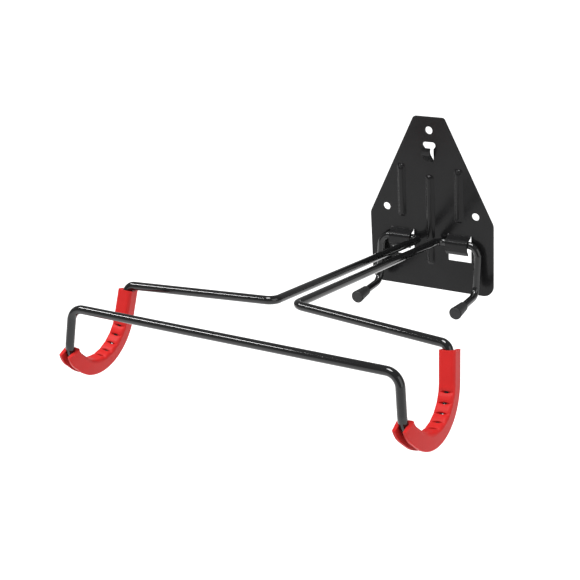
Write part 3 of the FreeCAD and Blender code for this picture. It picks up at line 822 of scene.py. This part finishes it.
class RACK_OT_sleeves(bpy.types.Operator):
    """Form the soft red sleeve of one hook, notch it and copy it to the other hook"""

    bl_idname = "rack.sleeves"
    bl_label = "Hook Sleeves"

    def execute(self, context):
        sizes, bar = context.scene.rack_sleeve, context.scene.rack_bar
        plan = bar_frame(bar)
        turned = plan["leg"]
        across, deep, down = turned @ X, turned @ Y, turned @ -Z
        start = plan["hook_top"] + down * sizes.below_bend

        def at(side, depth, along=0.0):
            return start + across * side + deep * depth + down * along

        wide, edge, slit = sizes.width / 2, sizes.edge_width / 2, sizes.slit / 2
        face, rim = -sizes.inner_depth, sizes.outer_depth
        bore = bar.diameter / 2 + sizes.fit
        opening = math.asin(slit / bore)
        bore_points = [
            at(bore * math.sin(turn), bore * math.cos(turn))
            for turn in spread(-opening, -2 * math.pi + opening, 28)
        ]
        cheek = [(edge, rim), (wide, face), (-wide, face), (-edge, rim)]
        corners = [sizes.rim_corner, sizes.corner, sizes.corner, sizes.rim_corner]
        outside = rounded([at(*spot) for spot in cheek], corners)
        # The resting face is split across its width, so that it can sink towards its notches.
        first, last = (
            index for index, spot in enumerate(outside)
            if abs((spot - start).dot(deep) - face) < TINY
        )
        outside[last:last] = [
            outside[first].lerp(outside[last], part) for part in spread(0, 1, 12)[1:-1]
        ]
        section = [at(slit, rim)] + outside + [at(-slit, rim)] + bore_points
        sleeve = trace("right_sleeve_skin", section)
        straight = bar.hook_straight - sizes.below_bend
        cradle_turn = math.pi / 2 - bar.hook_lean + bar.hook_end
        toe_run = bar.hook_toe - bar.toe_bend * math.tan((math.pi / 2 - bar.hook_end) / 2)
        moves = [
            straight, (bar.hook_radius, cradle_turn, -across),
            toe_run, (bar.toe_bend, sizes.toe_turn, -across),
        ]
        with editing(sleeve):
            carry(start, down, moves, step=SLEEVE_STEP)
            bpy.ops.mesh.select_all(action="SELECT")
            bpy.ops.mesh.fill_holes(sides=0)
        tidy(sleeve)

        centre = at(0, -bar.hook_radius, straight)
        resting = bar.hook_radius - sizes.inner_depth

        def notch(number):
            """Where a notch lies, and the ways into the face and along it there."""
            turn = sizes.notch_first + number * sizes.notch_pitch
            into = deep * math.cos(turn) + down * math.sin(turn)
            along = down * math.cos(turn) - deep * math.sin(turn)
            return centre + into * resting, into, along

        notches = [notch(number) for number in range(sizes.notches)]
        half, rise = sizes.notch_width / 2, sizes.notch_height / 2
        with editing(sleeve):
            for spot, into, along in notches:
                pick(sleeve, "verts", lambda place: (
                    abs((place - spot).dot(along)) < sizes.valley_core
                    and abs((place - spot).dot(into)) < sizes.valley_core
                    and abs((place - spot).dot(across)) < half - sizes.valley_inset))
                bpy.ops.transform.translate(
                    value=into * sizes.valley_depth,
                    use_proportional_edit=True, use_proportional_connected=True,
                    proportional_edit_falloff="SHARP", proportional_size=sizes.valley_reach,
                )
        cutters = []
        for spot, into, along in notches:
            top, floor = spot - into * sizes.notch_start, spot + into * sizes.notch_depth
            lens = [
                top + across * half * part + along * rise * side * (1 - part * part)
                for side, parts in ((1, spread(-1, 1, 14)), (-1, spread(1, -1, 14)[1:-1]))
                for part in parts
            ]
            cutter = trace("notch", lens)
            with editing(cutter):
                bpy.ops.mesh.edge_face_add()
                pull(floor - top)
                bpy.ops.transform.resize(value=(0.5, 0.5, 0.5), center_override=floor)
            tidy(cutter)
            cutters.append(cutter)
        join(*cutters)
        add_modifier(sleeve, "BOOLEAN", operation="DIFFERENCE", solver="EXACT", object=cutters[0])
        bpy.data.objects.remove(cutters[0])
        finish = context.scene.rack_finish
        vinyl = soft_vinyl("red_vinyl", finish.vinyl)
        other = twin(sleeve)
        settle(sleeve, "right_hook_sleeve", "carrier", "right_sleeve", vinyl, smooth=45)
        settle(other, "left_hook_sleeve", "carrier", "left_sleeve", vinyl, smooth=45)
        return {"FINISHED"}


class RACK_OT_caps(bpy.types.Operator):
    """Turn the rubber cap of one foot and copy it to the other foot"""

    bl_idname = "rack.caps"
    bl_label = "Foot Caps"

    def execute(self, context):
        sizes, bar = context.scene.rack_cap, context.scene.rack_bar
        plan = bar_frame(bar)
        tip, way = plan["corners"][0], plan["foot"]
        bore, mouth, widest = bar.diameter / 2 + sizes.fit, sizes.mouth / 2, sizes.widest / 2
        front, back = sizes.end, sizes.end - sizes.length
        # Distance from the bar's line, distance past the bar's end, and rounding.
        profile = (
            (0, 0, 0),
            (bore, 0, 0),
            (bore, back, sizes.bore_edge),
            (mouth, back, sizes.mouth_edge),
            (mouth + sizes.flare, back + sizes.rim, sizes.rim_edge),
            (widest, front - sizes.rim, sizes.side_edge),
            (widest, front, sizes.end_edge),
            (0, front, 0),
        )
        spots = [tip + X * out + way * along for out, along, radius in profile]
        outline = rounded(spots, [radius for out, along, radius in profile], step=CAP_STEP)
        cap = trace("right_cap_skin", outline, closed=False)
        with editing(cap):
            bpy.ops.mesh.spin(steps=sizes.sides, angle=2 * math.pi, center=tip, axis=way)
            bpy.ops.mesh.select_all(action="SELECT")
            bpy.ops.mesh.remove_doubles(threshold=2 * TINY)
        rubber = cap_rubber("cap_rubber", context.scene.rack_finish.rubber)
        other = twin(cap)
        settle(cap, "right_foot_cap", "carrier", "right_cap", rubber, smooth=50)
        settle(other, "left_foot_cap", "carrier", "left_cap", rubber, smooth=50)
        return {"FINISHED"}


class RACK_OT_stage(bpy.types.Operator):
    """Set the camera, the pale floor and the soft studio light"""

    bl_idname = "rack.stage"
    bl_label = "Studio"

    def execute(self, context):
        stage = context.scene.rack_stage
        bpy.ops.object.select_all(action="DESELECT")
        bpy.ops.object.camera_add(location=stage.camera_place, rotation=stage.camera_turn)
        camera = bpy.context.object
        camera.name = "camera"
        camera.data.lens, camera.data.sensor_width = stage.lens, stage.sensor
        camera.data.clip_start, camera.data.clip_end = 0.05, 100
        context.scene.camera = camera

        bpy.ops.mesh.primitive_plane_add(size=40, location=(0, 0, -stage.floor_level))
        floor = bpy.context.object
        floor.name = "floor"
        shader = Shader("pale_floor")
        floor.data.materials.append(shader.finish(base_color=(*stage.floor, 1), roughness=0.9))

        world = bpy.data.worlds.new("studio")
        world.use_nodes = True
        backdrop = world.node_tree.nodes["Background"]
        backdrop.inputs["Color"].default_value = (1, 1, 1, 1)
        backdrop.inputs["Strength"].default_value = stage.ambient
        context.scene.world = world
        # Name, kind, place, aim, width, height and power of each light.
        lights = (
            ("strip_softbox", "AREA", (-1.08, -0.8, 1.25), (-0.95, -0.65, 0), 0.95, 0.12, 20),
            ("right_softbox", "AREA", (2.2, -0.9, 0.9), (0, -0.3, 0), 2.0, 2.0, 22),
            ("sky_light", "SUN", (-0.1, -0.6, 2.0), (0, -0.2, 0), 0, 0, 3.2),
        )
        for name, kind, spot, aim, width, height, power in lights:
            bpy.ops.object.light_add(type=kind, location=spot)
            light = bpy.context.object
            light.name = name
            if kind == "AREA":
                light.data.shape = "RECTANGLE"
                light.data.size, light.data.size_y = width, height
            else:
                light.data.angle = stage.sun_spread
            light.data.energy = power
            light.rotation_euler = (Vector(aim) - Vector(spot)).to_track_quat("-Z", "Y").to_euler()
        context.scene.view_settings.view_transform = "Standard"
        return {"FINISHED"}


class RACK_PT_panel(bpy.types.Panel):
    """Builds the rack piece by piece"""

    bl_label = "Bicycle Wall Rack"
    bl_space_type = "VIEW_3D"
    bl_region_type = "UI"
    bl_category = "Rack"

    def draw(self, context):
        for step in OPERATORS:
            self.layout.operator(step.bl_idname)


GROUPS = {
    "rack_plate": RackPlateSizes, "rack_ribs": RackRibSizes, "rack_tabs": RackTabSizes,
    "rack_catch": RackCatchSizes, "rack_bar": RackBarSizes, "rack_sleeve": RackSleeveSizes,
    "rack_cap": RackCapSizes, "rack_finish": RackFinish, "rack_stage": RackStage,
}
OPERATORS = (RACK_OT_wall_plate, RACK_OT_bent_bar, RACK_OT_sleeves, RACK_OT_caps, RACK_OT_stage)


def register():
    for group in (*GROUPS.values(), *OPERATORS, RACK_PT_panel):
        bpy.utils.register_class(group)
    for name, group in GROUPS.items():
        setattr(bpy.types.Scene, name, PointerProperty(type=group))


def unregister():
    for name in GROUPS:
        delattr(bpy.types.Scene, name)
    for group in (RACK_PT_panel, *OPERATORS[::-1], *GROUPS.values()):
        bpy.utils.unregister_class(group)


def main():
    """Register the add-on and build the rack."""
    register()
    for step in OPERATORS:
        family, name = step.bl_idname.split(".")
        if getattr(getattr(bpy.ops, family), name)() != {"FINISHED"}:
            raise RuntimeError(f"{step.bl_label} did not finish")


if __name__ == "__main__":
    main()
